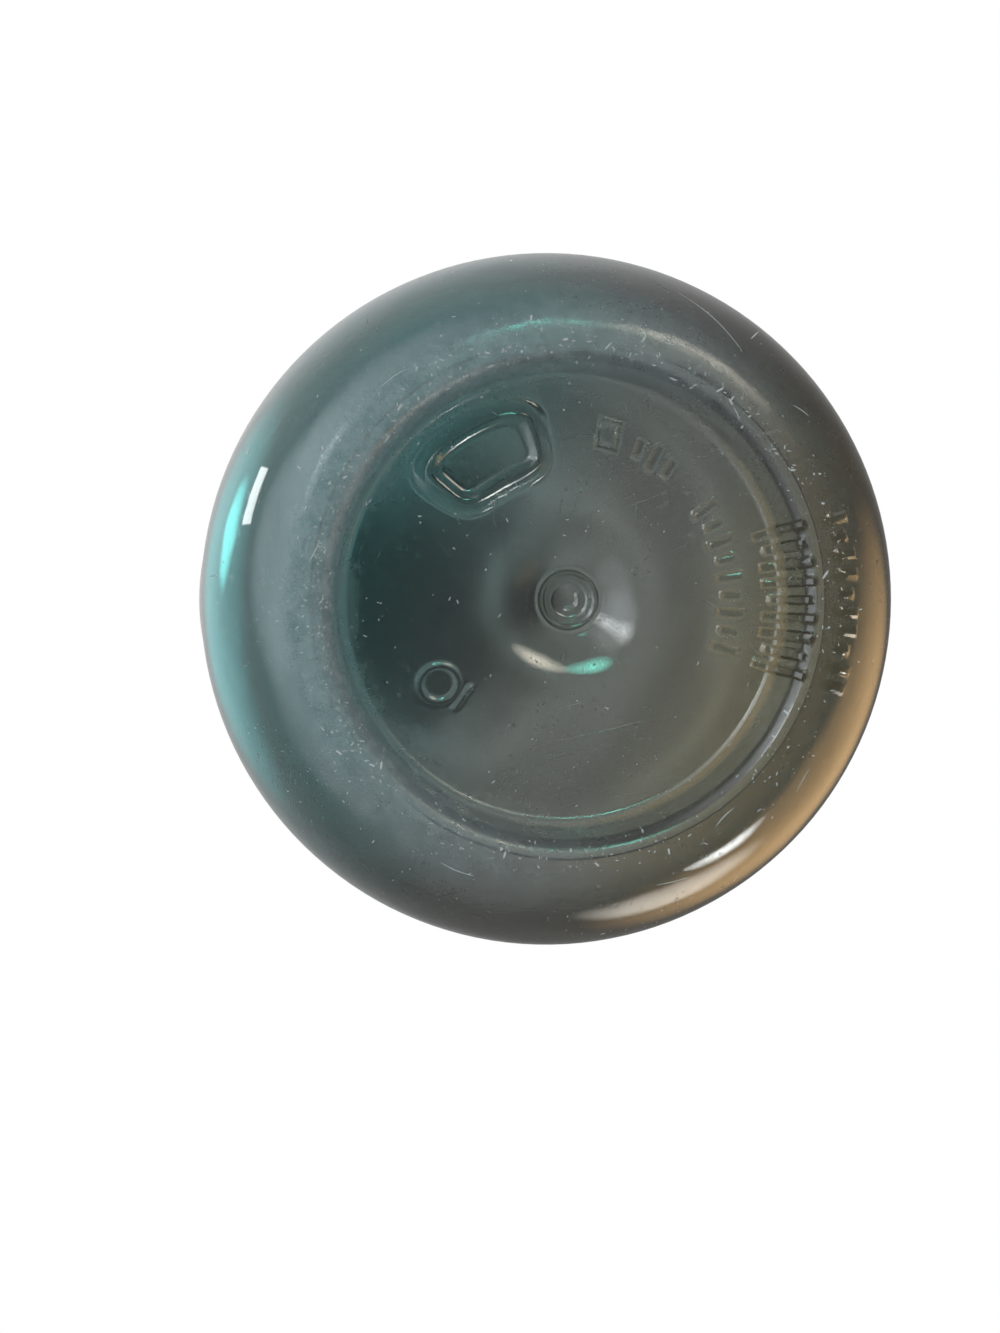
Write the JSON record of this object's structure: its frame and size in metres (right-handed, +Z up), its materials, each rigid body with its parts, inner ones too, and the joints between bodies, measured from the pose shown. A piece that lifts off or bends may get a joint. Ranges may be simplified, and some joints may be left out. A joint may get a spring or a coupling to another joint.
{
  "type": "water bottle",
  "caption": "Clear tinted plastic water bottle with a gripped waist, a push-up base, a screw closure with a flip-top spout, a push button and a swinging carry loop.",
  "frame": {"origin": "centre of the standing ring under the base, on the surface that the bottle stands on", "axes": "+Z up along the bottle's axis, -Y towards the front with the latch button, +Y towards the hinge, +X to the right loop rivet"},
  "size_m": [0.084, 0.084, 0.2582],
  "materials": {
    "clear_teal": "clear, smoky teal, glossy, with fine scuffs",
    "slate": "fine satin grain",
    "teal": "satin",
    "silicone": "matt silicone",
    "steel": "turned and polished"
  },
  "bodies": {
    "bottle": {"bottle_shell": "clear_teal"},
    "seal": {"neck_gasket": "silicone"},
    "closure": {"screw_collar": "slate", "hinge_pin": "steel", "latch_spring": "steel", "loop_rivet_left": "steel", "loop_rivet_right": "steel", "vent_valve": "silicone"},
    "cap": {"flip_cap": "slate", "spout_plug": "silicone"},
    "latch": {"latch_button": "teal"},
    "loop": {"carry_loop": "teal"}
  },
  "joints": [
    {"name": "closure_lift", "type": "slide", "parent": "bottle", "child": "seal", "axis": [0, 0, 1], "range_m": [0, 0.0069]},
    {"name": "closure_turn", "type": "hinge", "parent": "seal", "child": "closure", "pos_m": [0, 0, 0.2385], "axis": [0, 0, 1], "range_deg": [0, 450]},
    {"name": "cap_hinge", "type": "hinge", "parent": "closure", "child": "cap", "pos_m": [0, 0.0285, 0.2415], "axis": [-1, 0, 0], "range_deg": [0, 150]},
    {"name": "latch_press", "type": "slide", "parent": "closure", "child": "latch", "axis": [0, 1, 0], "range_m": [0, 0.0015], "stiffness_N_per_m": 600, "springref_m": -0.001, "deforming": ["latch_spring"]},
    {"name": "loop_swing", "type": "hinge", "parent": "closure", "child": "loop", "pos_m": [0, 0, 0.2335], "axis": [1, 0, 0], "range_deg": [0, 245]}
  ],
  "couplings": [
    {"joint": "closure_lift", "follows": "closure_turn", "m_per_rad": 0.00087535}
  ]
}
